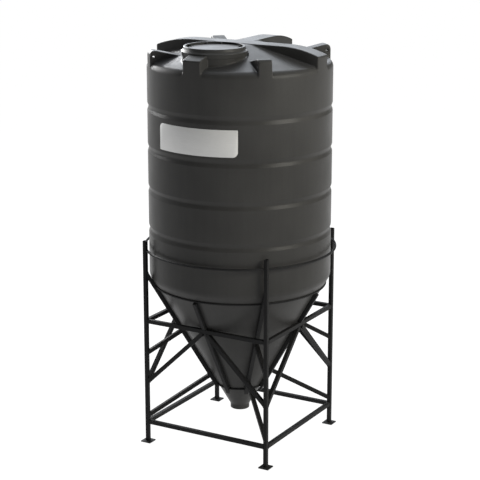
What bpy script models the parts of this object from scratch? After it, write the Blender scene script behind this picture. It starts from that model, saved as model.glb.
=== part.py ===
"""Conical bottom tank on a square tube stand, in metres, standing on the floor at z = 0."""

import math

import bmesh
import bpy
import numpy as np
from mathutils import Matrix, Vector

# Clearance between pieces that touch in the real tank
GAP = 0.0003
SEGMENTS = 48

# Tank shell
TANK_R = 0.900
WALL = 0.011
ROOF_JOINT_Z = 3.755
CONE_JOINT_Z = 1.760
GROOVES_Z = (2.192, 2.593, 2.998, 3.402)
GROOVE_HALF = 0.045
GROOVE_DEPTH = 0.012

# Cone, 60 degrees from level; its outer line is z = CONE_TIP_Z + SLOPE * r
SLOPE = math.tan(math.radians(60))
CONE_TIP_Z = 0.1552
KNUCKLE_R = 0.110
OUTLET_JOINT_Z = 0.345
OUTLET_R = 0.0964
OUTLET_BORE = 0.0845
OUTLET_END_Z = 0.277

# Roof
SHOULDER_R = 0.072
SHOULDER_Z = 3.780
ROOF_FALL = 0.243
CROWN_R = 0.324
CROWN_Z = 4.005
RIB_HALF = 0.090
RIB_TOP_Z = 4.0185
RIB_FLAT_R = 0.405
RIB_ARC_R = 1.440
RIB_BASE_Z = 3.795
LUG_THICK = 0.133
LUG_HOLE = (0.8595, 3.906)
LUG_HOLE_R = 0.013

# Manway and lid
LID_Y = -0.479
MANWAY_R = 0.276
NECK_R = 0.300
NECK_SPIGOT_R = 0.290
NECK_SHOULDER_Z = 3.944
NECK_TOP_Z = 3.984
POCKET_R = 0.316
POCKET_Z = 3.932
POCKET_WALL = 0.012
LID_TOP_Z = 4.023
LID_RIM_R = 0.296
LID_BULGE_R = 0.306
LID_DISC_R = 0.246

# Stand
TUBE = 0.040
LEG_AT = 0.679
LEG_TOP_Z = 2.095
PLATE = 0.110
PLATE_T = 0.010
BASE_RAIL_Z = 0.2134
MID_RAIL_Z = 1.2755
BRACE_FOOT_Z = 0.630
RAFTER_TIP_Z = CONE_TIP_Z - (TUBE / 2 + GAP) * 2
UPPER_STRUT_Z = 0.939
LOWER_STRUT_Z = 0.276
UPPER_RING = (0.863, 1.619, 1.633)
LOWER_RING = (0.241, 0.541, 0.555)
HOOP_R = 0.945
HOOP_Z = 1.997
HOOP_TUBE_R = 0.0120

SIDES = ("front", "right", "back", "left")
CORNERS = ("front_right", "back_right", "back_left", "front_left")
CORNER_RHO = LEG_AT * math.sqrt(2)
SIDE_FACE = LEG_AT - TUBE / 2 - GAP


def clear_scene():
    for ob in list(bpy.data.objects):
        bpy.data.objects.remove(ob, do_unlink=True)


def material(name, color, roughness, metallic=0.0):
    mat = bpy.data.materials.new(name)
    mat.use_nodes = True
    shader = mat.node_tree.nodes["Principled BSDF"]
    shader.inputs["Base Color"].default_value = (*color, 1.0)
    shader.inputs["Roughness"].default_value = roughness
    shader.inputs["Metallic"].default_value = metallic
    return mat


def shell_plastic():
    return material("tank_shell", (0.075, 0.068, 0.062), 0.42)


def lid_plastic():
    return material("lid", (0.070, 0.066, 0.063), 0.48)


def frame_paint():
    return material("frame_paint", (0.024, 0.024, 0.026), 0.45, 0.1)


def add_object(name, bm, mat, smooth=True):
    """Turn a mesh being built into a named object with its faces pointing out."""
    bmesh.ops.recalc_face_normals(bm, faces=bm.faces)
    mesh = bpy.data.meshes.new(name)
    bm.to_mesh(mesh)
    bm.free()
    mesh.materials.append(mat)
    ob = bpy.data.objects.new(name, mesh)
    bpy.context.scene.collection.objects.link(ob)
    if smooth:
        mesh.shade_smooth()
        mesh.set_sharp_from_angle(angle=math.radians(32))
    return ob


def repeat(ob, names):
    """Name the first object, then place its copies a quarter turn apart about the tank's axis."""
    ob.name = names[0]
    base = ob.matrix_basis.copy()
    for quarter, name in enumerate(names[1:], start=1):
        twin = ob.copy()
        twin.name = name
        twin.matrix_basis = Matrix.Rotation(quarter * math.pi / 2, 4, "Z") @ base
        bpy.context.scene.collection.objects.link(twin)


def turned(profile, segments=SEGMENTS, first=0.0, last=None):
    """Turn a closed (r, z) outline about Z, as a ring or as an arc with end faces."""
    bm = bmesh.new()
    whole = last is None
    sweep = 2 * math.pi if whole else last - first
    stations = segments if whole else segments + 1
    rows = []
    for i in range(stations):
        a = first + sweep * i / segments
        rows.append([bm.verts.new((r * math.cos(a), r * math.sin(a), z)) for r, z in profile])
    n = len(profile)
    for i in range(segments):
        here, there = rows[i], rows[(i + 1) % stations]
        for k in range(n):
            bm.faces.new((here[k], there[k], there[(k + 1) % n], here[(k + 1) % n]))
    if not whole:
        bm.faces.new(rows[0])
        bm.faces.new(rows[-1])
    return bm


def spun_solid(profile, segments=SEGMENTS):
    """Turn an open (r, z) outline whose two ends lie on the axis into a solid."""
    bm = bmesh.new()
    top = bm.verts.new((0, 0, profile[0][1]))
    bottom = bm.verts.new((0, 0, profile[-1][1]))
    rows = []
    for i in range(segments):
        a = 2 * math.pi * i / segments
        rows.append([bm.verts.new((r * math.cos(a), r * math.sin(a), z)) for r, z in profile[1:-1]])
    for i in range(segments):
        here, there = rows[i], rows[(i + 1) % segments]
        bm.faces.new((top, here[0], there[0]))
        bm.faces.new((bottom, there[-1], here[-1]))
        for k in range(len(here) - 1):
            bm.faces.new((here[k], here[k + 1], there[k + 1], there[k]))
    return bm


def extruded(outline, thick, matrix):
    """Extrude a closed (x, z) outline evenly to both sides of y = 0."""
    bm = bmesh.new()
    near = [bm.verts.new((x, -thick / 2, z)) for x, z in outline]
    far = [bm.verts.new((x, thick / 2, z)) for x, z in outline]
    bm.faces.new(near)
    bm.faces.new(list(reversed(far)))
    for k in range(len(outline)):
        j = (k + 1) % len(outline)
        bm.faces.new((near[k], far[k], far[j], near[j]))
    bmesh.ops.transform(bm, matrix=matrix, verts=bm.verts)
    return bm


def block(low, high):
    bm = bmesh.new()
    bmesh.ops.create_cube(bm, size=1.0)
    for v in bm.verts:
        v.co = Vector([(a + b) / 2 + c * (b - a) for a, b, c in zip(low, high, v.co)])
    return bm


def combine(target, cutter, operation):
    """Join or cut an object with another solid, which is used up."""
    mod = target.modifiers.new("combine", "BOOLEAN")
    mod.operation = operation
    mod.solver = "EXACT"
    mod.object = cutter
    graph = bpy.context.evaluated_depsgraph_get()
    mesh = bpy.data.meshes.new_from_object(target.evaluated_get(graph))
    target.modifiers.clear()
    target.data = mesh
    bpy.data.objects.remove(cutter, do_unlink=True)


def arc(center, radius, start, end, steps):
    """Points of an arc in the (r, z) plane, its angles in degrees from +r towards +z."""
    angles = np.radians(np.linspace(start, end, steps + 1))
    return [(center[0] + radius * math.cos(a), center[1] + radius * math.sin(a)) for a in angles]


def cone_r(z, inset=0.0):
    """Radius of the cone's outer line at a height, or of a line inset into the wall."""
    return (z - CONE_TIP_Z) / SLOPE - inset / math.sin(math.radians(60))


# Tank

def wall_line(depth):
    """One side of the cylinder's section from bottom to top, following the grooves."""
    line = [(TANK_R - depth, CONE_JOINT_Z + GAP)]
    for z in GROOVES_Z:
        line += [(TANK_R - depth, z - GROOVE_HALF),
                 (TANK_R - depth - GROOVE_DEPTH * 0.85, z - GROOVE_HALF * 0.35),
                 (TANK_R - depth - GROOVE_DEPTH * 0.85, z + GROOVE_HALF * 0.35),
                 (TANK_R - depth, z + GROOVE_HALF)]
    line.append((TANK_R - depth, ROOF_JOINT_Z))
    return line


def make_wall(mat):
    section = wall_line(0.0) + list(reversed(wall_line(WALL)))
    add_object("tank_wall", turned(section), mat)


def knuckle_line(depth):
    """Rounded corner between cone and cylinder, from the cone up to the wall."""
    reach = KNUCKLE_R * math.tan(math.radians(15))
    corner_z = CONE_TIP_Z + SLOPE * TANK_R
    center = (TANK_R - KNUCKLE_R, corner_z + reach)
    return arc(center, KNUCKLE_R - depth, -30, 0, 4)


def make_cone(mat):
    outer = [(cone_r(OUTLET_JOINT_Z), OUTLET_JOINT_Z)] + knuckle_line(0.0) + [(TANK_R, CONE_JOINT_Z)]
    inner = [(cone_r(OUTLET_JOINT_Z, WALL), OUTLET_JOINT_Z)] + knuckle_line(WALL)
    inner.append((TANK_R - WALL, CONE_JOINT_Z))
    add_object("tank_cone", turned(outer + list(reversed(inner))), mat)


def make_outlet(mat):
    top = OUTLET_JOINT_Z - GAP
    section = [(OUTLET_BORE, OUTLET_END_Z), (OUTLET_R - 0.006, OUTLET_END_Z),
               (OUTLET_R - 0.0015, OUTLET_END_Z + 0.0025), (OUTLET_R, OUTLET_END_Z + 0.008),
               (OUTLET_R, 0.316), (OUTLET_R + 0.003, 0.327), (cone_r(top), top),
               (cone_r(top, WALL), top), (OUTLET_BORE + 0.003, 0.324), (OUTLET_BORE, 0.308)]
    add_object("tank_outlet", turned(section), mat)


def roof_line(depth):
    """Roof section from the crown on the axis down to the wall, inset by a depth."""
    tilt = math.degrees(math.atan(ROOF_FALL))
    center = (TANK_R - SHOULDER_R, SHOULDER_Z)
    shoulder = arc(center, SHOULDER_R - depth, 90 - tilt, 0, 5)
    drop = depth / math.cos(math.radians(tilt))
    start_r, start_z = shoulder[0]
    crown_edge = (CROWN_R, start_z + ROOF_FALL * (start_r - CROWN_R))
    lift = CROWN_Z - drop - crown_edge[1]
    crown = [(CROWN_R * f, crown_edge[1] + lift * (1 - f ** 2)) for f in (0.0, 0.4, 0.7)]
    return crown + [crown_edge] + shoulder


def dome_solid(name, mat, base, grow=0.0):
    """Outer shape of the roof as a solid, or the room that it takes."""
    return add_object(name, spun_solid(roof_line(-grow) + [(TANK_R + grow, base), (0, base)]), mat)


def seat_on_roof(ob, mat):
    """Trim a moulding to the wall's radius and to the roof below it."""
    combine(ob, add_object("round", spun_solid(cylinder(TANK_R, 3.6, 4.2)), mat), "INTERSECT")
    combine(ob, dome_solid("room", mat, 3.5, GAP), "DIFFERENCE")


def make_rib(side, inner, mat):
    """Radial rib that runs level from the crown, then bends down to the wall."""
    steps = np.linspace(RIB_FLAT_R, TANK_R + 0.01, 5)
    drop = [RIB_ARC_R - math.sqrt(RIB_ARC_R ** 2 - (r - RIB_FLAT_R) ** 2) for r in steps]
    top = [(r, RIB_TOP_Z - d) for r, d in zip(steps, drop) if r > inner]
    start_z = RIB_TOP_Z if inner < RIB_FLAT_R else top[0][1] + 0.012
    outline = [(inner, RIB_BASE_Z), (inner, start_z)] + top + [(TANK_R + 0.01, RIB_BASE_Z)]
    turn = Matrix.Rotation((SIDES.index(side) - 1) * math.pi / 2, 4, "Z")
    rib = add_object("roof_rib_" + side, extruded(outline, 2 * RIB_HALF, turn), mat, smooth=False)
    seat_on_roof(rib, mat)
    return rib


def make_ribs(mat):
    for side in ("right", "left"):
        make_rib(side, GAP, mat)
    make_rib("back", RIB_HALF + GAP, mat)
    front = make_rib("front", 0.700, mat)
    combine(front, lid_axis(cylinder(LID_BULGE_R + GAP, 3.6, 4.2), "lid_room", mat), "DIFFERENCE")


def make_lugs(mat):
    """Lifting lugs between the ribs, each with a hole square to the radius."""
    outline = [(0.580, RIB_BASE_Z), (0.600, 3.908), (0.8595, 3.9655), (0.882, 3.960), (0.895, 3.944),
               (0.9015, 3.920), (TANK_R + 0.01, 3.910), (TANK_R + 0.01, RIB_BASE_Z)]
    hole = arc(LUG_HOLE, LUG_HOLE_R, 0, 330, 11)
    for quarter, corner in enumerate(CORNERS):
        turn = Matrix.Rotation((quarter - 0.5) * math.pi / 2, 4, "Z")
        lug = add_object("lifting_lug_" + corner, extruded(outline, LUG_THICK, turn), mat, smooth=False)
        seat_on_roof(lug, mat)
        drill = add_object("drill", extruded(hole, LUG_THICK + 0.02, turn), mat)
        combine(lug, drill, "DIFFERENCE")


def lid_axis(profile, name, mat, segments=SEGMENTS):
    """A solid turned about the manway's own axis."""
    bm = spun_solid(profile, segments)
    bmesh.ops.translate(bm, vec=(0, LID_Y, 0), verts=bm.verts)
    return add_object(name, bm, mat)


def cylinder(radius, low, high):
    return [(0, high), (radius, high), (radius, low), (0, low)]


def make_roof(mat):
    """Roof shell with the neck of the manway in a shallow pocket."""
    roof = dome_solid("tank_roof", mat, ROOF_JOINT_Z + GAP)
    combine(roof, lid_axis(cylinder(POCKET_R, POCKET_Z, 4.2), "pocket", mat), "DIFFERENCE")
    neck = [(0, NECK_TOP_Z), (NECK_SPIGOT_R, NECK_TOP_Z), (NECK_SPIGOT_R, NECK_SHOULDER_Z),
            (NECK_R, NECK_SHOULDER_Z), (NECK_R, 3.800), (0, 3.800)]
    combine(roof, lid_axis(neck, "neck", mat), "UNION")
    inside = add_object("inside", spun_solid(roof_line(WALL) + [(TANK_R - WALL, 3.6), (0, 3.6)]), mat)
    guard = cylinder(POCKET_R + POCKET_WALL, POCKET_Z - POCKET_WALL, 4.2)
    combine(inside, lid_axis(guard, "guard", mat), "DIFFERENCE")
    combine(roof, inside, "DIFFERENCE")
    combine(roof, lid_axis(cylinder(MANWAY_R, 3.5, 4.2), "manway", mat), "DIFFERENCE")
    roof.data.shade_smooth()
    roof.data.set_sharp_from_angle(angle=math.radians(32))


def make_lid(mat):
    """Screw-down lid: a sunk disc inside a raised rim, over a skirt around the neck."""
    inner_r = NECK_SPIGOT_R + GAP
    profile = [(0, LID_TOP_Z - 0.012), (LID_DISC_R, LID_TOP_Z - 0.012), (LID_DISC_R + 0.006, LID_TOP_Z),
               (LID_RIM_R - 0.004, LID_TOP_Z), (LID_RIM_R, LID_TOP_Z - 0.005), (0.300, 4.000),
               (LID_BULGE_R, 3.974), (0.305, 3.954), (0.302, NECK_SHOULDER_Z + GAP),
               (inner_r, NECK_SHOULDER_Z + GAP), (inner_r, NECK_TOP_Z + GAP), (0, NECK_TOP_Z + GAP)]
    lid_axis(profile, "manway_lid", mat)


# Stand

def bar(name, start, end, mat, cuts=(), size=TUBE):
    """Square bar between two points, two of its faces level, trimmed by (point, normal) planes."""
    start, end = Vector(start), Vector(end)
    along = (end - start).normalized()
    across = Vector((0, 0, 1)).cross(along)
    across = across.normalized() if across.length > 1e-6 else Vector((0, 1, 0))
    basis = Matrix((along, across, along.cross(across))).transposed().to_4x4()
    basis.translation = start
    bm = block((0, -size / 2, -size / 2), ((end - start).length, size / 2, size / 2))
    back = basis.inverted()
    for point, normal in cuts:
        trim(bm, back @ Vector(point), back.to_3x3() @ Vector(normal))
    ob = add_object(name, bm, mat, smooth=False)
    ob.matrix_basis = basis
    return ob


def trim(bm, point, normal):
    """Take away what lies beyond a plane and close the cut."""
    geometry = bm.verts[:] + bm.edges[:] + bm.faces[:]
    cut = bmesh.ops.bisect_plane(bm, geom=geometry, plane_co=point, plane_no=normal, clear_outer=True)
    edges = [e for e in cut["geom_cut"] if isinstance(e, bmesh.types.BMEdge)]
    bmesh.ops.edgeloop_fill(bm, edges=edges)


def named(stem, places):
    return [f"{stem}_{place}" for place in places]


def make_legs(mat):
    """Each leg is welded to its foot plate, so the two are one piece."""
    half = PLATE / 2
    bm = block((-half, -half, 0), (half, half, PLATE_T))
    edges = [e for e in bm.edges if abs(e.verts[0].co.z - e.verts[1].co.z) > PLATE_T / 2]
    bmesh.ops.bevel(bm, geom=edges, offset=0.003, segments=1, affect="EDGES")
    leg = add_object("leg", bm, mat, smooth=False)
    combine(leg, bar("post", (0, 0, PLATE_T / 2), (0, 0, LEG_TOP_Z), mat), "UNION")
    leg.matrix_basis = Matrix.Translation((LEG_AT, -LEG_AT, 0))
    repeat(leg, named("leg", CORNERS))


def make_rails(mat):
    for stem, z in (("base_rail", BASE_RAIL_Z), ("mid_rail", MID_RAIL_Z)):
        rail = bar(stem, (-SIDE_FACE, -LEG_AT, z), (SIDE_FACE, -LEG_AT, z), mat)
        repeat(rail, named(stem, SIDES))


def make_side_braces(mat):
    """Two braces a side, from below the middle of the mid rail down to the legs."""
    under_rail = ((0, 0, MID_RAIL_Z - TUBE / 2 - GAP), (0, 0, 1))
    for stem, way in (("brace_right", 1), ("brace_left", -1)):
        foot = Vector((way * LEG_AT, -LEG_AT, BRACE_FOOT_Z))
        head = Vector((0, -LEG_AT, MID_RAIL_Z))
        past = (head - foot) * 0.1
        cuts = [under_rail, ((way * SIDE_FACE, 0, 0), (way, 0, 0)),
                ((way * (TUBE / 2 + GAP), 0, 0), (-way, 0, 0))]
        repeat(bar(stem, foot - past, head + past, mat, cuts), named(stem, SIDES))


def rafter_point(rho):
    """Point of a rafter's centre line below the cone, in the plane of +X."""
    return Vector((rho, 0, RAFTER_TIP_Z + SLOPE * rho))


def make_side_rafters(mat):
    """Rafters at the middle of each side, in two lengths that meet the mid rail."""
    foot = ((LOWER_RING[0] + GAP, 0, 0), (-1, 0, 0))
    below = ((0, 0, MID_RAIL_Z - TUBE / 2 - GAP), (0, 0, 1))
    above = ((0, 0, MID_RAIL_Z + TUBE / 2 + GAP), (0, 0, -1))
    along = Vector((0.5, 0, SLOPE / 2))
    end = (Vector((cone_r(UPPER_RING[1]), 0, UPPER_RING[1])) - along * GAP, along)
    places = SIDES[1:] + SIDES[:1]
    lower = bar("rafter_low", rafter_point(0.15), rafter_point(0.75), mat, [foot, below])
    repeat(lower, named("lower_rafter", places))
    upper = bar("rafter_up", rafter_point(0.62), rafter_point(0.90), mat, [above, end])
    repeat(upper, named("upper_rafter", places))


def leg_cutter(mat):
    """Leg with its clearance, turned so that its corner faces along -X."""
    half = TUBE / 2 + GAP
    bm = block((-half, -half, -0.1), (half, half, LEG_TOP_Z + 0.1))
    turn = Matrix.Translation((CORNER_RHO, 0, 0)) @ Matrix.Rotation(math.pi / 4, 4, "Z")
    bmesh.ops.transform(bm, matrix=turn, verts=bm.verts)
    return add_object("leg_cutter", bm, mat, smooth=False)


def ring_section(ring):
    """Section of a flat ring lying against the cone."""
    outer, low, high = ring
    fit = GAP / math.sin(math.radians(60))
    return [(cone_r(low) + fit, low), (outer, low), (outer, high), (cone_r(high) + fit, high)]


def to_corner(ob, stem):
    """Swing a bar made in the plane of +X into the plane of each leg."""
    ob.matrix_basis = Matrix.Rotation(-math.pi / 4, 4, "Z") @ ob.matrix_basis
    repeat(ob, named(stem, CORNERS))


def make_corner_rafters(mat):
    """Rafters from the inner corner of each leg down under the cone to the lower ring."""
    foot = ((LOWER_RING[0] + GAP, 0, 0), (-1, 0, 0))
    rafter = bar("rafter", rafter_point(0.15), rafter_point(1.02), mat, [foot, ((CORNER_RHO, 0, 0), (1, 0, 0))])
    combine(rafter, leg_cutter(mat), "DIFFERENCE")
    outer, low, high = UPPER_RING
    room = [(0.780, low - GAP), (outer + GAP, low - GAP), (outer + GAP, high + GAP), (0.780, high + GAP)]
    combine(rafter, add_object("room", turned(room), mat), "DIFFERENCE")
    to_corner(rafter, "corner_rafter")


def make_struts(mat):
    """Struts square to the corner rafters, from the legs in to the rafters' undersides."""
    fall = math.tan(math.radians(30))
    normal = Vector((-SLOPE / 2, 0, 0.5))
    under = (rafter_point(0.5) - normal * (TUBE / 2 + GAP), normal)
    for stem, z, inner in (("upper_strut", UPPER_STRUT_Z, 0.55), ("lower_strut", LOWER_STRUT_Z, 0.26)):
        start = (CORNER_RHO + 0.05, 0, z - 0.05 * fall)
        end = (inner, 0, z + (CORNER_RHO - inner) * fall)
        strut = bar(stem, start, end, mat, [((CORNER_RHO, 0, 0), (1, 0, 0)), under])
        combine(strut, leg_cutter(mat), "DIFFERENCE")
        to_corner(strut, stem)


def make_rings(mat):
    add_object("upper_ring", turned(ring_section(UPPER_RING)), mat)
    add_object("lower_ring", turned(ring_section(LOWER_RING)), mat)


def make_hoop(mat):
    """Round tube in four arcs between the legs, clear of the tank's wall."""
    section = arc((HOOP_R, HOOP_Z), HOOP_TUBE_R, 0, 315, 7)
    half = math.acos(SIDE_FACE / HOOP_R)
    bm = turned(section, 14, -math.pi / 2 - (math.pi / 2 - half) * 1.04, -math.pi / 2 + (math.pi / 2 - half) * 1.04)
    trim(bm, Vector((SIDE_FACE, 0, 0)), Vector((1, 0, 0)))
    trim(bm, Vector((-SIDE_FACE, 0, 0)), Vector((-1, 0, 0)))
    repeat(add_object("hoop", bm, mat), named("hoop", SIDES))


def main():
    clear_scene()
    shell, cap, paint = shell_plastic(), lid_plastic(), frame_paint()
    make_wall(shell)
    make_cone(shell)
    make_outlet(shell)
    make_roof(shell)
    make_ribs(shell)
    make_lugs(shell)
    make_lid(cap)
    make_legs(paint)
    make_rails(paint)
    make_side_braces(paint)
    make_side_rafters(paint)
    make_corner_rafters(paint)
    make_struts(paint)
    make_rings(paint)
    make_hoop(paint)


main()
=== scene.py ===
"""Conical bottom tank on its square tube stand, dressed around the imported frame."""

import math

import bmesh
import bpy
import numpy as np
from mathutils import Matrix, Vector


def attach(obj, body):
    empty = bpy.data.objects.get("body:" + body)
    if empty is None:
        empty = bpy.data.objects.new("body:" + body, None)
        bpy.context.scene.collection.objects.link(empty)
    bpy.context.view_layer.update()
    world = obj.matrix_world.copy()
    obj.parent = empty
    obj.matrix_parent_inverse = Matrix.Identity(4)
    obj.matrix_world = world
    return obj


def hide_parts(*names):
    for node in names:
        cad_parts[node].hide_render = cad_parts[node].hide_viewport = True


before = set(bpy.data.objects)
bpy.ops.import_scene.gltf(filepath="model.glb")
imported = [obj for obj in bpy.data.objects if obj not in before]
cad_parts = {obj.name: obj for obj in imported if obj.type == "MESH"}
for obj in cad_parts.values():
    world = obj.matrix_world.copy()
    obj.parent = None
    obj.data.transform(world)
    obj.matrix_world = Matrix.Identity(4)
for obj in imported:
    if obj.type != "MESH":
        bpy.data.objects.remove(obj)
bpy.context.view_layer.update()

# Sizes shared with the solids, in metres
TANK_R = 0.900
WALL = 0.011
GROOVES_Z = (2.192, 2.593, 2.998, 3.402)
GROOVE_HALF = 0.040
GROOVE_DEPTH = 0.0122
SLOPE = math.tan(math.radians(60))
CONE_TIP_Z = 0.1552
KNUCKLE_R = 0.110
OUTLET_R = 0.0964
OUTLET_BORE = 0.0845
OUTLET_END_Z = 0.277
ROOF_Z = 3.755
SHOULDER_R = 0.072
SHOULDER_Z = 3.780
ROOF_FALL = 0.243
CROWN_Z = 4.0065
RIB_HALF = 0.095
RIB_TOP_Z = 4.0120
RIB_FLAT_R = 0.500
RIB_ARC_R = 1.090
LUG_HALF = 0.0665
LUG_HOLE = (0.8595, 3.906)
LUG_HOLE_R = 0.013
LID_Y = -0.479
LID_TOP_Z = 4.0312
NECK_R = 0.301
POCKET_R = 0.3155
POCKET_Z = 3.932
LEG_AT = 0.679
TUBE = 0.040
LEG_TOP_Z = 2.095
PLATE = 0.110
PLATE_T = 0.010
HOOP_R = 0.945
HOOP_Z = 1.997
HOOP_TUBE_R = 0.012
LABEL_Z = (3.061, 3.317)
LABEL_AZ = (-116.6, -61.2)


# Materials

def node(tree, kind, **values):
    """Add a shader node; keywords set its inputs by name, with _ for a space."""
    made = tree.nodes.new(kind)
    for key, value in values.items():
        made.inputs[key.replace("_", " ")].default_value = value
    return made


def new_material(name):
    mat = bpy.data.materials.new(name)
    mat.use_nodes = True
    tree = mat.node_tree
    return mat, tree, tree.nodes["Principled BSDF"]


def scaled_coords(tree, scale):
    place = tree.nodes.new("ShaderNodeTexCoord")
    mapping = node(tree, "ShaderNodeMapping", Scale=scale)
    tree.links.new(place.outputs["Object"], mapping.inputs["Vector"])
    return mapping.outputs["Vector"]


def noise(tree, vector, scale, detail=3.0, roughness=0.5):
    made = node(tree, "ShaderNodeTexNoise", Scale=scale, Detail=detail, Roughness=roughness)
    tree.links.new(vector, made.inputs["Vector"])
    return made.outputs["Fac"]


def remap(tree, value, low, high, to_low, to_high):
    made = node(tree, "ShaderNodeMapRange")
    for key, v in (("From Min", low), ("From Max", high), ("To Min", to_low), ("To Max", to_high)):
        made.inputs[key].default_value = v
    tree.links.new(value, made.inputs["Value"])
    return made.outputs["Result"]


def blend(tree, factor, a, b, mode="MIX"):
    """Mix two colours, each a tuple or a socket."""
    made = tree.nodes.new("ShaderNodeMix")
    made.data_type = "RGBA"
    made.blend_type = mode
    if isinstance(factor, float):
        made.inputs["Factor"].default_value = factor
    else:
        tree.links.new(factor, made.inputs["Factor"])
    for socket, value in ((made.inputs[6], a), (made.inputs[7], b)):
        if isinstance(value, tuple):
            socket.default_value = (*value, 1.0)
        else:
            tree.links.new(value, socket)
    return made.outputs[2]


def bump(tree, height, distance, strength=1.0, normal=None):
    made = node(tree, "ShaderNodeBump", Strength=strength, Distance=distance)
    tree.links.new(height, made.inputs["Height"])
    if normal is not None:
        tree.links.new(normal, made.inputs["Normal"])
    return made.outputs["Normal"]


def moulded_plastic(name, color, roughness, specular=0.5):
    """Rotationally moulded polyethylene: pebbled skin, faint run marks and uneven sheen."""
    mat, tree, shader = new_material(name)
    even = scaled_coords(tree, (1, 1, 1))
    tall = scaled_coords(tree, (7, 7, 0.5))
    cloud = remap(tree, noise(tree, even, 1.6, 2.0), 0.3, 0.7, 0.0, 1.0)
    runs = remap(tree, noise(tree, tall, 2.4, 4.0, 0.6), 0.35, 0.7, 0.0, 1.0)
    speck = remap(tree, noise(tree, even, 160.0, 2.0), 0.40, 0.75, 0.0, 1.0)
    darker = tuple(c * 0.86 for c in color)
    lighter = tuple(min(1.0, c * 1.16) for c in color)
    base = blend(tree, cloud, darker, lighter)
    base = blend(tree, remap(tree, runs, 0, 1, 0.0, 0.16), base, tuple(c * 1.5 for c in color))
    base = blend(tree, remap(tree, speck, 0, 1, 0.0, 0.22), base, tuple(c * 0.6 for c in color))
    tree.links.new(base, shader.inputs["Base Color"])
    sheen = noise(tree, even, 3.1, 3.0)
    tree.links.new(remap(tree, sheen, 0.3, 0.7, roughness - 0.05, roughness + 0.06), shader.inputs["Roughness"])
    shader.inputs["Specular IOR Level"].default_value = specular
    wavy = bump(tree, noise(tree, even, 4.5, 1.0), 0.004, 0.35)
    fine = bump(tree, noise(tree, even, 260.0, 2.0), 0.0005, 0.30, wavy)
    tree.links.new(fine, shader.inputs["Normal"])
    return mat


def frame_paint():
    """Satin black paint on rolled steel tube, a little worn and dusty."""
    mat, tree, shader = new_material("satin_black_paint")
    even = scaled_coords(tree, (1, 1, 1))
    patch = remap(tree, noise(tree, even, 5.0, 4.0), 0.35, 0.7, 0.0, 1.0)
    base = blend(tree, patch, (0.0125, 0.0125, 0.0130), (0.0175, 0.0175, 0.0180))
    dust = remap(tree, noise(tree, even, 38.0, 5.0, 0.65), 0.58, 0.80, 0.0, 0.30)
    base = blend(tree, dust, base, (0.034, 0.033, 0.032))
    tree.links.new(base, shader.inputs["Base Color"])
    tree.links.new(remap(tree, patch, 0, 1, 0.50, 0.62), shader.inputs["Roughness"])
    shader.inputs["Specular IOR Level"].default_value = 0.08
    peel = bump(tree, noise(tree, even, 180.0, 2.0), 0.0004, 0.35)
    tree.links.new(peel, shader.inputs["Normal"])
    return mat


def plate_metal():
    """Bare silver sheet, finely brushed along its length."""
    mat, tree, shader = new_material("bare_plate")
    long_way = scaled_coords(tree, (14, 14, 900))
    even = scaled_coords(tree, (1, 1, 1))
    grain = remap(tree, noise(tree, long_way, 1.0, 4.0, 0.6), 0.3, 0.7, 0.0, 1.0)
    cloud = remap(tree, noise(tree, even, 9.0, 3.0), 0.3, 0.7, 0.0, 1.0)
    base = blend(tree, grain, (0.46, 0.46, 0.455), (0.54, 0.54, 0.535))
    base = blend(tree, remap(tree, cloud, 0, 1, 0.0, 0.25), base, (0.58, 0.58, 0.575))
    tree.links.new(base, shader.inputs["Base Color"])
    shader.inputs["Metallic"].default_value = 0.0
    tree.links.new(remap(tree, grain, 0, 1, 0.34, 0.46), shader.inputs["Roughness"])
    tree.links.new(bump(tree, grain, 0.0002, 0.3), shader.inputs["Normal"])
    return mat


def pale_floor():
    mat, tree, shader = new_material("pale_floor")
    shader.inputs["Base Color"].default_value = (0.06, 0.06, 0.06, 1)
    shader.inputs["Roughness"].default_value = 0.9
    shader.inputs["Specular IOR Level"].default_value = 0.0
    shader.inputs["Emission Color"].default_value = (1, 1, 1, 1)
    shader.inputs["Emission Strength"].default_value = 1.0
    return mat


SHELL = moulded_plastic("moulded_shell", (0.0340, 0.0335, 0.0326), 0.37, 0.11)
LID = moulded_plastic("moulded_lid", (0.0350, 0.0347, 0.0340), 0.36, 0.10)
PAINT = frame_paint()
PLATE_METAL = plate_metal()


# Mesh helpers

def make_object(name, mesh, mat, angle=None):
    mesh.materials.clear()
    mesh.materials.append(mat)
    ob = bpy.data.objects.new(name, mesh)
    bpy.context.scene.collection.objects.link(ob)
    mesh.shade_smooth()
    if angle is not None:
        mesh.set_sharp_from_angle(angle=math.radians(angle))
    return ob


def mesh_of(name, verts, faces):
    mesh = bpy.data.meshes.new(name)
    mesh.from_pydata([tuple(v) for v in verts], [], [tuple(f) for f in faces])
    mesh.validate()
    return mesh


def finish_mesh(bm, name, mat, angle=None):
    bmesh.ops.recalc_face_normals(bm, faces=bm.faces)
    mesh = bpy.data.meshes.new(name)
    bm.to_mesh(mesh)
    bm.free()
    return make_object(name, mesh, mat, angle)


def belongs(ob, slot, *nodes):
    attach(ob, "root")
    if nodes:
        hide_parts(*nodes)
    return ob


def turned(profile, segments, closed=True, center=(0.0, 0.0)):
    """Vertices and quads of an (r, z) outline turned about an upright axis."""
    r, z = np.array(profile).T
    a = np.linspace(0, 2 * np.pi, segments, endpoint=False)
    x = center[0] + np.cos(a)[:, None] * r
    y = center[1] + np.sin(a)[:, None] * r
    verts = np.stack([x, y, np.broadcast_to(z, x.shape)], -1).reshape(-1, 3)
    n = len(profile)
    count = n if closed else n - 1
    i = np.repeat(np.arange(segments), count)
    k = np.tile(np.arange(count), segments)
    j = (i + 1) % segments
    m = (k + 1) % n
    faces = np.stack([i * n + k, j * n + k, j * n + m, i * n + m], -1)
    return verts, faces


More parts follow.
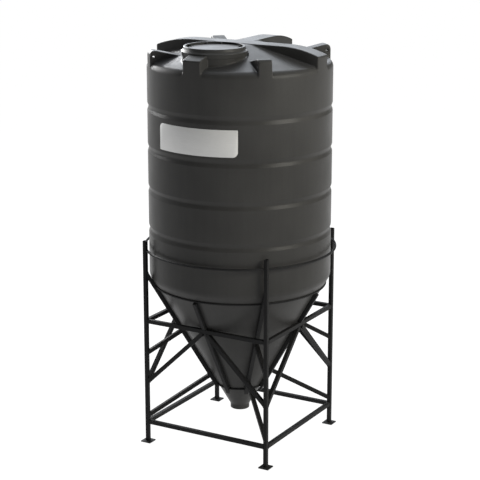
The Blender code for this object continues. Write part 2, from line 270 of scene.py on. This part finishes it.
def arc(center, radius, start, end, steps):
    angles = np.radians(np.linspace(start, end, steps + 1))
    return [(center[0] + radius * math.cos(a), center[1] + radius * math.sin(a)) for a in angles]


def cone_r(z, inset=0.0):
    return (z - CONE_TIP_Z) / SLOPE - inset / math.sin(math.radians(60))


# Tank body: wall, cone and outlet as one moulding

def eased(points, reach, steps=4):
    """Round the inner corners of an open outline."""
    points = [Vector(p) for p in points]
    line = [points[0]]
    for before, corner, after in zip(points, points[1:], points[2:]):
        a = corner + (before - corner).normalized() * reach
        b = corner + (after - corner).normalized() * reach
        for k in range(steps + 1):
            t = k / steps
            line.append(a * (1 - t) ** 2 + corner * 2 * t * (1 - t) + b * t ** 2)
    line.append(points[-1])
    return [tuple(p) for p in line]


def groove_line(depth):
    """Outline of the wall's grooves, each with two straight flanks and a narrow floor."""
    line, skin = [], TANK_R - depth
    for z in GROOVES_Z:
        line += eased([(skin, z - GROOVE_HALF - 0.006), (skin, z - GROOVE_HALF),
                       (skin - GROOVE_DEPTH, z - 0.0055), (skin - GROOVE_DEPTH, z + 0.0055),
                       (skin, z + GROOVE_HALF), (skin, z + GROOVE_HALF + 0.006)], 0.0045)
    return line


def knuckle(depth):
    reach = KNUCKLE_R * math.tan(math.radians(15))
    center = (TANK_R - KNUCKLE_R, CONE_TIP_Z + SLOPE * TANK_R + reach)
    return arc(center, KNUCKLE_R - depth, -30, 0, 14)


def make_tank_body():
    lip = [(OUTLET_BORE, OUTLET_END_Z + 0.002), (OUTLET_BORE + 0.002, OUTLET_END_Z)]
    lip += arc((OUTLET_R - 0.007, OUTLET_END_Z + 0.007), 0.007, -90, 0, 6)
    neck = [(OUTLET_R, 0.308), (OUTLET_R + 0.0005, 0.315), (OUTLET_R + 0.0019, 0.322),
            (OUTLET_R + 0.0044, 0.330), (OUTLET_R + 0.0082, 0.3375), (cone_r(0.346), 0.346)]
    cone = [(cone_r(z), z) for z in np.linspace(0.40, 1.60, 13)]
    outer = lip + neck + cone + knuckle(0.0) + groove_line(0.0) + [(TANK_R, ROOF_Z)]
    inner = [(OUTLET_BORE, 0.304), (OUTLET_BORE + 0.003, 0.324), (cone_r(0.348, WALL), 0.348)]
    inner += knuckle(WALL) + groove_line(WALL) + [(TANK_R - WALL, ROOF_Z)]
    verts, faces = turned(outer + inner[::-1], 288)
    ob = make_object("tank_body", mesh_of("tank_body", verts, faces), SHELL, 40)
    return belongs(ob, "tank_shell", "tank_wall", "tank_cone", "tank_outlet")


# Roof: one moulding of dome, ribs, lugs and neck, drawn as a blended distance field

def soft_max(a, b, k):
    h = np.maximum(k - np.abs(a - b), 0.0) / k
    return np.maximum(a, b) + h * h * k * 0.25


def soft_min(a, b, k):
    return -soft_max(-a, -b, k)


def dome_field(r, z):
    """Distance outside the plain roof: wall, rounded shoulder and shallow cone."""
    c, s = math.cos(math.atan(ROOF_FALL)), math.sin(math.atan(ROOF_FALL))
    dr, dz = r - (TANK_R - SHOULDER_R), z - SHOULDER_Z
    slant = soft_max(dr * s + dz * c, z - CROWN_Z + SHOULDER_R, 0.010)
    corner = (dz > 0) & (dr * c - dz * s > 0)
    return np.where(corner, np.hypot(dr, dz), np.maximum(dr, slant)) - SHOULDER_R


def rib_field(along, aside, r, z, start):
    bend = np.clip(along - RIB_FLAT_R, 0, None)
    top = RIB_TOP_Z - (RIB_ARC_R - np.sqrt(RIB_ARC_R ** 2 - np.minimum(bend, 0.9) ** 2))
    body = soft_max((z - top) * 0.97, np.abs(aside) - RIB_HALF, 0.009)
    body = soft_max(body, r - TANK_R, 0.011)
    return np.maximum(body, start - along)


def lug_field(along, aside, r, z):
    top = 3.9655 + 0.2216 * (along - LUG_HOLE[0])
    body = soft_max((z - top) * 0.976, r - TANK_R, 0.065)
    body = soft_max(body, np.abs(aside) - LUG_HALF, 0.010)
    body = np.maximum(body, 0.45 - along)
    hole = LUG_HOLE_R - np.hypot(along - LUG_HOLE[0], z - LUG_HOLE[1])
    return soft_max(body, hole, 0.005)


def roof_field(x, y, z):
    r = np.hypot(x, y)
    lid_r = np.hypot(x, y - LID_Y)
    dome = dome_field(r, z)
    ribs = np.minimum(rib_field(np.abs(x), y, r, z, -1.0), rib_field(y, x, r, z, 0.0))
    front = np.maximum(rib_field(-y, x, r, z, 0.5), NECK_R + 0.001 - lid_r)
    field = soft_min(dome, np.minimum(ribs, front), 0.012)
    for sx, sy in ((1, -1), (1, 1), (-1, 1), (-1, -1)):
        along, aside = (sx * x + sy * y) / math.sqrt(2), (sy * x - sx * y) / math.sqrt(2)
        lug = np.where(along > 0.4, lug_field(np.maximum(along, 0.4), aside, r, z), 1.0)
        field = soft_min(field, lug, 0.011)
    pocket = np.maximum(np.maximum(lid_r - POCKET_R, POCKET_Z - z), -(y + 1.1) + 0.35)
    field = soft_max(field, -pocket, 0.012)
    neck = soft_max(lid_r - NECK_R, z - 3.965, 0.006)
    field = soft_min(field, neck, 0.016)
    return np.maximum(field, r - TANK_R)


def surface_net(field, low, step, shape):
    """Quads on the zero level of a field, with their corners settled onto it."""
    axes = [low[a] + step * np.arange(shape[a]) for a in range(3)]
    grid = np.meshgrid(*axes, indexing="ij")
    value = field(*grid).astype(np.float32)
    inside = value < 0
    n = [s - 1 for s in shape]
    corners = [(i, j, k) for i in (0, 1) for j in (0, 1) for k in (0, 1)]

    def part(a, c):
        return a[c[0]:c[0] + n[0], c[1]:c[1] + n[1], c[2]:c[2] + n[2]]

    count = sum(part(inside, c).astype(np.int8) for c in corners)
    cells = np.argwhere((count > 0) & (count < 8))
    index = np.full(n, -1, dtype=np.int64)
    index[tuple(cells.T)] = np.arange(len(cells))
    values = np.stack([value[tuple((cells + c).T)] for c in corners], 1)
    total = np.zeros((len(cells), 3))
    hits = np.zeros(len(cells))
    for p in range(8):
        for q in range(p + 1, 8):
            cp, cq = np.array(corners[p]), np.array(corners[q])
            if np.abs(cp - cq).sum() != 1:
                continue
            vp, vq = values[:, p], values[:, q]
            cross = (vp < 0) != (vq < 0)
            t = np.where(cross, vp / np.where(cross, vp - vq, 1), 0)
            total += np.where(cross[:, None], cp + t[:, None] * (cq - cp), 0)
            hits += cross
    points = np.array(low) + step * (cells + total / hits[:, None])
    quads = []
    for axis in range(3):
        a1, a2 = (axis + 1) % 3, (axis + 2) % 3
        here = [slice(None)] * 3
        there = [slice(None)] * 3
        here[axis], there[axis] = slice(0, -1), slice(1, None)
        flips = inside[tuple(here)] != inside[tuple(there)]
        found = np.argwhere(flips)
        keep = (found[:, a1] > 0) & (found[:, a2] > 0) & (found[:, a1] < n[a1]) & (found[:, a2] < n[a2])
        found = found[keep]
        out = inside[tuple(found.T)]
        ring = []
        for da, db in ((1, 1), (0, 1), (0, 0), (1, 0)):
            cell = found.copy()
            cell[:, a1] -= da
            cell[:, a2] -= db
            ring.append(index[tuple(cell.T)])
        ring = np.stack(ring, 1)
        quads.append(np.where(out[:, None], ring, ring[:, ::-1]))
    return settle(field, points), np.concatenate(quads)


def settle(field, points, rounds=4):
    e = 4e-4
    for _ in range(rounds):
        x, y, z = points.T
        d = field(x, y, z)
        g = np.stack([field(x + e, y, z) - field(x - e, y, z),
                      field(x, y + e, z) - field(x, y - e, z),
                      field(x, y, z + e) - field(x, y, z - e)], 1) / (2 * e)
        size = np.maximum((g ** 2).sum(1), 0.3)
        points = points - np.clip(d / size, -0.004, 0.004)[:, None] * g
    return points


def make_roof():
    step = 0.0075
    low = (-0.91237, -0.91131, 3.7331)
    shape = (244, 244, 42)
    verts, faces = surface_net(roof_field, low, step, shape)
    mesh = mesh_of("tank_top", verts, faces)
    bm = bmesh.new()
    bm.from_mesh(mesh)
    geometry = bm.verts[:] + bm.edges[:] + bm.faces[:]
    bmesh.ops.bisect_plane(bm, geom=geometry, plane_co=(0, 0, ROOF_Z), plane_no=(0, 0, -1), clear_outer=True)
    loose = [v for v in bm.verts if not v.link_faces]
    bmesh.ops.delete(bm, geom=loose, context="VERTS")
    bm.to_mesh(mesh)
    bm.free()
    ob = make_object("tank_top", mesh, SHELL)
    names = [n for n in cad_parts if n.startswith(("roof_rib", "lifting_lug"))]
    return belongs(ob, "tank_shell", "tank_roof", *names)


def make_lid():
    top = LID_TOP_Z
    profile = [(0.0001, top - 0.0185), (0.180, top - 0.0188), (0.256, top - 0.0195), (0.2595, top - 0.0210),
               (0.2610, top - 0.0240), (0.2615, top - 0.0400), (0.2740, top - 0.0400), (0.2735, top - 0.0070),
               (0.2700, top - 0.0030), (0.2697, top - 0.0025)]
    profile += arc((0.2722, top - 0.0025), 0.0025, 165, 90, 4)
    profile += arc((0.2855, top - 0.0060), 0.0060, 90, 15, 5)
    profile += [(0.2925, top - 0.0140), (0.2950, top - 0.0250), (0.2990, top - 0.0330), (0.3060, top - 0.0385)]
    profile += arc((0.3040, 3.9820), 0.0100, 40, -30, 7)
    profile += [(0.3115, 3.9700), (0.3100, 3.9560), (0.3098, 3.9480), (0.3080, 3.9442), (0.2920, 3.9442)]
    verts, faces = turned(profile, 192, closed=False, center=(0.0, LID_Y))
    bm = bmesh.new()
    bm.from_mesh(mesh_of("lid_shell", verts, faces))
    bmesh.ops.remove_doubles(bm, verts=bm.verts, dist=0.0004)
    for angle in (47, 106, 136, 187, 227, 286, 316, 7):
        add_gusset(bm, math.radians(angle), top)
    ob = finish_mesh(bm, "manway_cover", LID, 38)
    return belongs(ob, "lid", "manway_lid")


def add_gusset(bm, angle, top):
    """Small radial rib between the lid's disc and its raised rim."""
    made = bmesh.ops.create_cube(bm, size=1.0)["verts"]
    low, high = Vector((0.236, -0.0050, top - 0.030)), Vector((0.2730, 0.0050, top - 0.0080))
    for v in made:
        v.co = Vector([(a + b) / 2 + c * (b - a) for a, b, c in zip(low, high, v.co)])
        if v.co.x < 0.22:
            v.co.z -= 0.013
    bmesh.ops.rotate(bm, cent=(0, 0, 0), matrix=Matrix.Rotation(angle, 3, "Z"), verts=made)
    bmesh.ops.translate(bm, vec=(0, LID_Y, 0), verts=made)
    edges = list({e for v in made for e in v.link_edges})
    bmesh.ops.bevel(bm, geom=edges, offset=0.0016, segments=2, affect="EDGES")


def make_label():
    """Bare plate that follows the wall, two of its corners well rounded."""
    a0, a1 = (math.radians(a) for a in LABEL_AZ)
    length = (a1 - a0) * TANK_R
    big, small = 0.050, 0.007
    spots = np.unique(np.concatenate([
        np.linspace(0, length, 70), small * (1 - np.cos(np.linspace(0, np.pi / 2, 7))),
        length - small * (1 - np.cos(np.linspace(0, np.pi / 2, 7))),
        big * (1 - np.cos(np.linspace(0, np.pi / 2, 16))),
        length - big * (1 - np.cos(np.linspace(0, np.pi / 2, 16)))]).round(6))

    def cut(distance, radius):
        gap = np.clip(radius - distance, 0, radius)
        return radius - math.sqrt(radius ** 2 - gap ** 2)

    verts = []
    for u in spots:
        top = LABEL_Z[1] - cut(u, big) - cut(length - u, small)
        bottom = LABEL_Z[0] + cut(u, small) + cut(length - u, big)
        a = a0 + u / TANK_R
        for r, z in ((TANK_R - 0.0003, bottom), (TANK_R + 0.0014, bottom + 0.0002),
                     (TANK_R + 0.0020, bottom + 0.0012), (TANK_R + 0.0020, top - 0.0012),
                     (TANK_R + 0.0014, top - 0.0002), (TANK_R - 0.0003, top)):
            verts.append((r * math.cos(a), r * math.sin(a), z))
    faces = []
    for i in range(len(spots) - 1):
        for k in range(6):
            m = (k + 1) % 6
            faces.append((i * 6 + k, (i + 1) * 6 + k, (i + 1) * 6 + m, i * 6 + m))
    faces.append(tuple(range(6)))
    faces.append(tuple((len(spots) - 1) * 6 + k for k in range(6)))
    bm = bmesh.new()
    bm.from_mesh(mesh_of("blank_plate", verts, faces))
    ob = finish_mesh(bm, "blank_plate", PLATE_METAL, 50)
    return belongs(ob, "tank_shell")


# Stand

def clean_copy(name):
    """A CAD node's solid with its corners joined and flat faces whole, ready to be rounded."""
    bm = bmesh.new()
    bm.from_mesh(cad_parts[name].data)
    bmesh.ops.remove_doubles(bm, verts=bm.verts, dist=1e-5)
    bmesh.ops.dissolve_limit(bm, angle_limit=math.radians(0.5), verts=bm.verts, edges=bm.edges)
    bm.normal_update()
    return bm


def bar_axis(bm):
    longest = max(bm.edges, key=lambda e: e.calc_length())
    return (longest.verts[1].co - longest.verts[0].co).normalized()


def end_loops(bm):
    """Closed outlines of a bar's two cut ends."""
    axis = bar_axis(bm)
    middle = sum((v.co.dot(axis) for v in bm.verts)) / len(bm.verts)
    loops = []
    for way in (-1, 1):
        ends = {f for f in bm.faces if abs(f.normal.dot(axis)) > 0.15
                and (f.calc_center_median().dot(axis) - middle) * way > 0}
        rim = [e for e in bm.edges if len([f for f in e.link_faces if f in ends]) == 1]
        loops.append(chain(rim))
    return loops


def chain(edges):
    """Order loose edges into a closed run of points."""
    near = {}
    for e in edges:
        for v in e.verts:
            near.setdefault(v, []).append(e)
    if not near:
        return []
    here = next(iter(near))
    start, last, points = here, None, []
    while True:
        points.append(here.co.copy())
        follow = [e for e in near[here] if e is not last]
        if not follow:
            return []
        last = follow[0]
        here = last.other_vert(here)
        if here is start:
            return points
        if len(points) > 60:
            return []


def bead(points, radius, seed):
    """Weld bead along a closed run of points, rippled as the passes leave it."""
    rng = np.random.default_rng(seed)
    path = []
    for a, b in zip(points, points[1:] + points[:1]):
        steps = max(1, round((b - a).length / 0.005))
        path += [a.lerp(b, k / steps) for k in range(steps)]
    count = len(path)
    verts, faces = [], []
    for i, p in enumerate(path):
        ahead = (path[(i + 1) % count] - path[i - 1]).normalized()
        side = ahead.cross(Vector((0.31, 0.52, 0.79))).normalized()
        up = ahead.cross(side)
        size = radius * (1 + 0.14 * math.sin(i * 2.1) + rng.uniform(-0.08, 0.08))
        for k in range(6):
            a = math.tau * k / 6
            verts.append(p + (side * math.cos(a) + up * math.sin(a)) * size)
    for i in range(count):
        j = (i + 1) % count
        for k in range(6):
            m = (k + 1) % 6
            faces.append((i * 6 + k, j * 6 + k, j * 6 + m, i * 6 + m))
    return verts, faces


def make_bars():
    """Rounded tubes for all bars of the stand, with weld beads at the ends that meet another."""
    stems = ("base_rail", "mid_rail", "brace", "corner_rafter", "lower_rafter", "upper_rafter",
             "upper_strut", "lower_strut")
    verts, faces = [], []
    for seed, name in enumerate(sorted(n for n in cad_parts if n.startswith(stems))):
        bm = clean_copy(name)
        for loop in end_loops(bm):
            center = sum(loop, Vector()) / max(len(loop), 1)
            free = "rafter" in name and (center.z < 0.7 or center.z > 1.5 and name.startswith("upper"))
            if loop and not free:
                v, f = bead(loop, 0.0034, seed)
                faces += [tuple(i + len(verts) for i in face) for face in f]
                verts += v
        ob = finish_mesh(bm, name + "_tube", PAINT, 30)
        soften(ob, 0.0032, 3)
        belongs(ob, "frame_paint", name)
    welds = make_object("weld_beads", mesh_of("weld_beads", verts, faces), PAINT)
    belongs(welds, "frame_paint")


def soften(ob, width, segments):
    mod = ob.modifiers.new("round", "BEVEL")
    mod.width = width
    mod.segments = segments
    mod.limit_method = "ANGLE"
    mod.angle_limit = math.radians(30)
    mod.harden_normals = True


def rounded_square(half, radius, steps=4):
    points = []
    for quarter in range(4):
        sx, sy = ((1, 1), (-1, 1), (-1, -1), (1, -1))[quarter]
        for k in range(steps + 1):
            a = math.radians(90 * quarter + 90 * k / steps)
            points.append((sx * (half - radius) + radius * math.cos(a),
                           sy * (half - radius) + radius * math.sin(a)))
    return points


def loft(rings, closed=True):
    """Quads between rings of equal length."""
    n = len(rings[0])
    verts = [p for ring in rings for p in ring]
    faces = []
    pairs = range(len(rings)) if closed else range(len(rings) - 1)
    for i in pairs:
        j = (i + 1) % len(rings)
        for k in range(n):
            m = (k + 1) % n
            faces.append((i * n + k, i * n + m, j * n + m, j * n + k))
    return verts, faces


def make_leg(name, sx, sy):
    """Open square tube welded to its foot plate."""
    half = TUBE / 2
    outside, inside = rounded_square(half, 0.006), rounded_square(half - 0.003, 0.0032)
    heights = (PLATE_T, 0.5, 1.0, 1.5, LEG_TOP_Z - 0.0006)
    rings = [[(x, y, z) for x, y in outside] for z in heights]
    rings.append([(x * 0.985, y * 0.985, LEG_TOP_Z) for x, y in outside])
    rings.append([(x * 1.02, y * 1.02, LEG_TOP_Z) for x, y in inside])
    rings += [[(x, y, z) for x, y in inside] for z in (LEG_TOP_Z - 0.0006, 1.0, PLATE_T)]
    verts, faces = loft(rings)
    bm = bmesh.new()
    bm.from_mesh(mesh_of("leg", verts, faces))
    add_foot_plate(bm)
    weld_v, weld_f = bead([Vector((x, y, PLATE_T)) for x, y in outside], 0.0036, 7)
    bm.from_mesh(mesh_of("foot_weld", weld_v, weld_f))
    bmesh.ops.translate(bm, vec=(sx * LEG_AT, sy * LEG_AT, 0), verts=bm.verts)
    ob = finish_mesh(bm, name + "_tube", PAINT, 35)
    return belongs(ob, "frame_paint", name)


def add_foot_plate(bm):
    half = PLATE / 2
    outline = rounded_square(half, 0.004, 3)
    low = [(x * 0.99, y * 0.99, 0.0) for x, y in outline]
    mid_low = [(x, y, 0.001) for x, y in outline]
    mid_high = [(x, y, PLATE_T - 0.001) for x, y in outline]
    high = [(x * 0.985, y * 0.985, PLATE_T) for x, y in outline]
    verts, faces = loft([low, mid_low, mid_high, high], closed=False)
    n = len(outline)
    faces.append(tuple(reversed(range(n))))
    faces.append(tuple(3 * n + k for k in range(n)))
    bm.from_mesh(mesh_of("foot_plate", verts, faces))


def make_legs():
    for name, sx, sy in (("leg_front_right", 1, -1), ("leg_back_right", 1, 1),
                         ("leg_back_left", -1, 1), ("leg_front_left", -1, -1)):
        make_leg(name, sx, sy)


def make_rings():
    """Flat rings under the cone, their corners eased."""
    for name, outer, low, high in (("upper_ring", 0.863, 1.619, 1.633), ("lower_ring", 0.241, 0.541, 0.555)):
        e = 0.0016
        fit = 0.0003
        section = [(cone_r(low) + fit + e, low), (outer - e, low), (outer - e * 0.3, low + e * 0.3),
                   (outer, low + e), (outer, high - e), (outer - e * 0.3, high - e * 0.3),
                   (outer - e, high), (cone_r(high) + fit + e, high), (cone_r(high) + fit, high - e * 0.5),
                   (cone_r(low) + fit, low + e * 0.5)]
        verts, faces = turned(section, 240)
        bm = bmesh.new()
        bm.from_mesh(mesh_of(name, verts, faces))
        belongs(finish_mesh(bm, name + "_bar", PAINT, 40), "frame_paint", name)


def make_hoop():
    """Round tube in four arcs between the legs, welded to their side faces."""
    face = LEG_AT - TUBE / 2
    half = math.asin(face / HOOP_R)
    verts, faces = [], []
    for quarter in range(4):
        middle = quarter * math.pi / 2
        rings = []
        for a in np.linspace(-half, half, 49):
            ring = []
            for k in range(14):
                b = math.tau * k / 14
                r, z = HOOP_R + HOOP_TUBE_R * math.cos(b), HOOP_Z + HOOP_TUBE_R * math.sin(b)
                end = min(abs(r * math.sin(a)), face) if abs(a) > half * 0.97 else abs(r * math.sin(a))
                aside = math.copysign(end, a)
                out = math.sqrt(max(r * r - aside * aside, 0))
                ring.append((out * math.cos(middle) - aside * math.sin(middle),
                             out * math.sin(middle) + aside * math.cos(middle), z))
            rings.append(ring)
        v, f = loft(rings, closed=False)
        f.append(tuple(range(14)))
        f.append(tuple(48 * 14 + k for k in range(14)))
        faces += [tuple(i + len(verts) for i in face_) for face_ in f]
        verts += v
        for ring, seed in ((rings[0], quarter), (rings[-1], quarter + 9)):
            v, f = bead([Vector(p) for p in ring], 0.0028, seed)
            faces += [tuple(i + len(verts) for i in face_) for face_ in f]
            verts += v
    bm = bmesh.new()
    bm.from_mesh(mesh_of("hoop", verts, faces))
    ob = finish_mesh(bm, "guard_hoop", PAINT, 50)
    belongs(ob, "frame_paint", "hoop_front", "hoop_right", "hoop_back", "hoop_left")


# Stage

def make_floor():
    mesh = mesh_of("floor", [(-150, -150, 0), (150, -150, 0), (150, 150, 0), (-150, 150, 0)], [(0, 1, 2, 3)])
    floor = make_object("floor", mesh, pale_floor())


def soft_box(name, turn, lift, distance, size, radiance, color):
    """Square light aimed at the tank: its turn is counted from the camera's side, its lift from level."""
    light = bpy.data.lights.new(name, "AREA")
    light.shape = "RECTANGLE"
    light.size, light.size_y = size
    light.energy = radiance * math.pi * size[0] * size[1]
    light.color = color
    ob = bpy.data.objects.new(name, light)
    aim = Vector((0, 0, 2.8))
    a, e = math.radians(turn - 60), math.radians(lift)
    away = Vector((math.cos(a) * math.cos(e), math.sin(a) * math.cos(e), math.sin(e)))
    ob.location = aim + away * distance
    ob.rotation_euler = (-away).to_track_quat("-Z", "Y").to_euler()
    bpy.context.scene.collection.objects.link(ob)


def make_lights():
    world = bpy.data.worlds.new("studio")
    bpy.context.scene.world = world
    world.use_nodes = True
    sky = world.node_tree.nodes["Background"]
    sky.inputs["Color"].default_value = (1, 1, 1, 1)
    sky.inputs["Strength"].default_value = 0.02
    cool, warm, plain = (0.93, 0.98, 1.05), (1.03, 1.0, 0.90), (1, 1, 1)
    soft_box("overhead", 0, 89, 6.7, (6, 6), 1.8, cool)
    soft_box("back_low", 180, 24, 9.5, (9, 4.5), 2.8, cool)
    soft_box("back_high", 180, 50, 8.5, (8, 4), 4.0, cool)
    soft_box("left_far", -150, 22, 8.5, (4, 4), 15.0, plain)
    soft_box("left_near", -120, 22, 8.5, (4, 4), 10.0, plain)
    soft_box("right_front", 55, 22, 8.5, (4, 4), 12.5, warm)
    soft_box("right_side", 95, 22, 8.5, (4, 4), 1.5, warm)


def make_camera():
    data = bpy.data.cameras.new("camera")
    data.sensor_fit = "HORIZONTAL"
    data.angle = math.radians(17.456)
    camera = bpy.data.objects.new("camera", data)
    camera.location = (7.5030, -12.9956, 6.0575)
    aim = Vector((0, 0, 2.0367)) - Vector(camera.location)
    camera.rotation_euler = aim.to_track_quat("-Z", "Y").to_euler()
    bpy.context.scene.collection.objects.link(camera)
    bpy.context.scene.camera = camera


make_tank_body()
make_roof()
make_lid()
make_label()
make_bars()
make_legs()
make_rings()
make_hoop()
make_floor()
make_lights()
make_camera()
bpy.context.scene.view_settings.view_transform = "Standard"
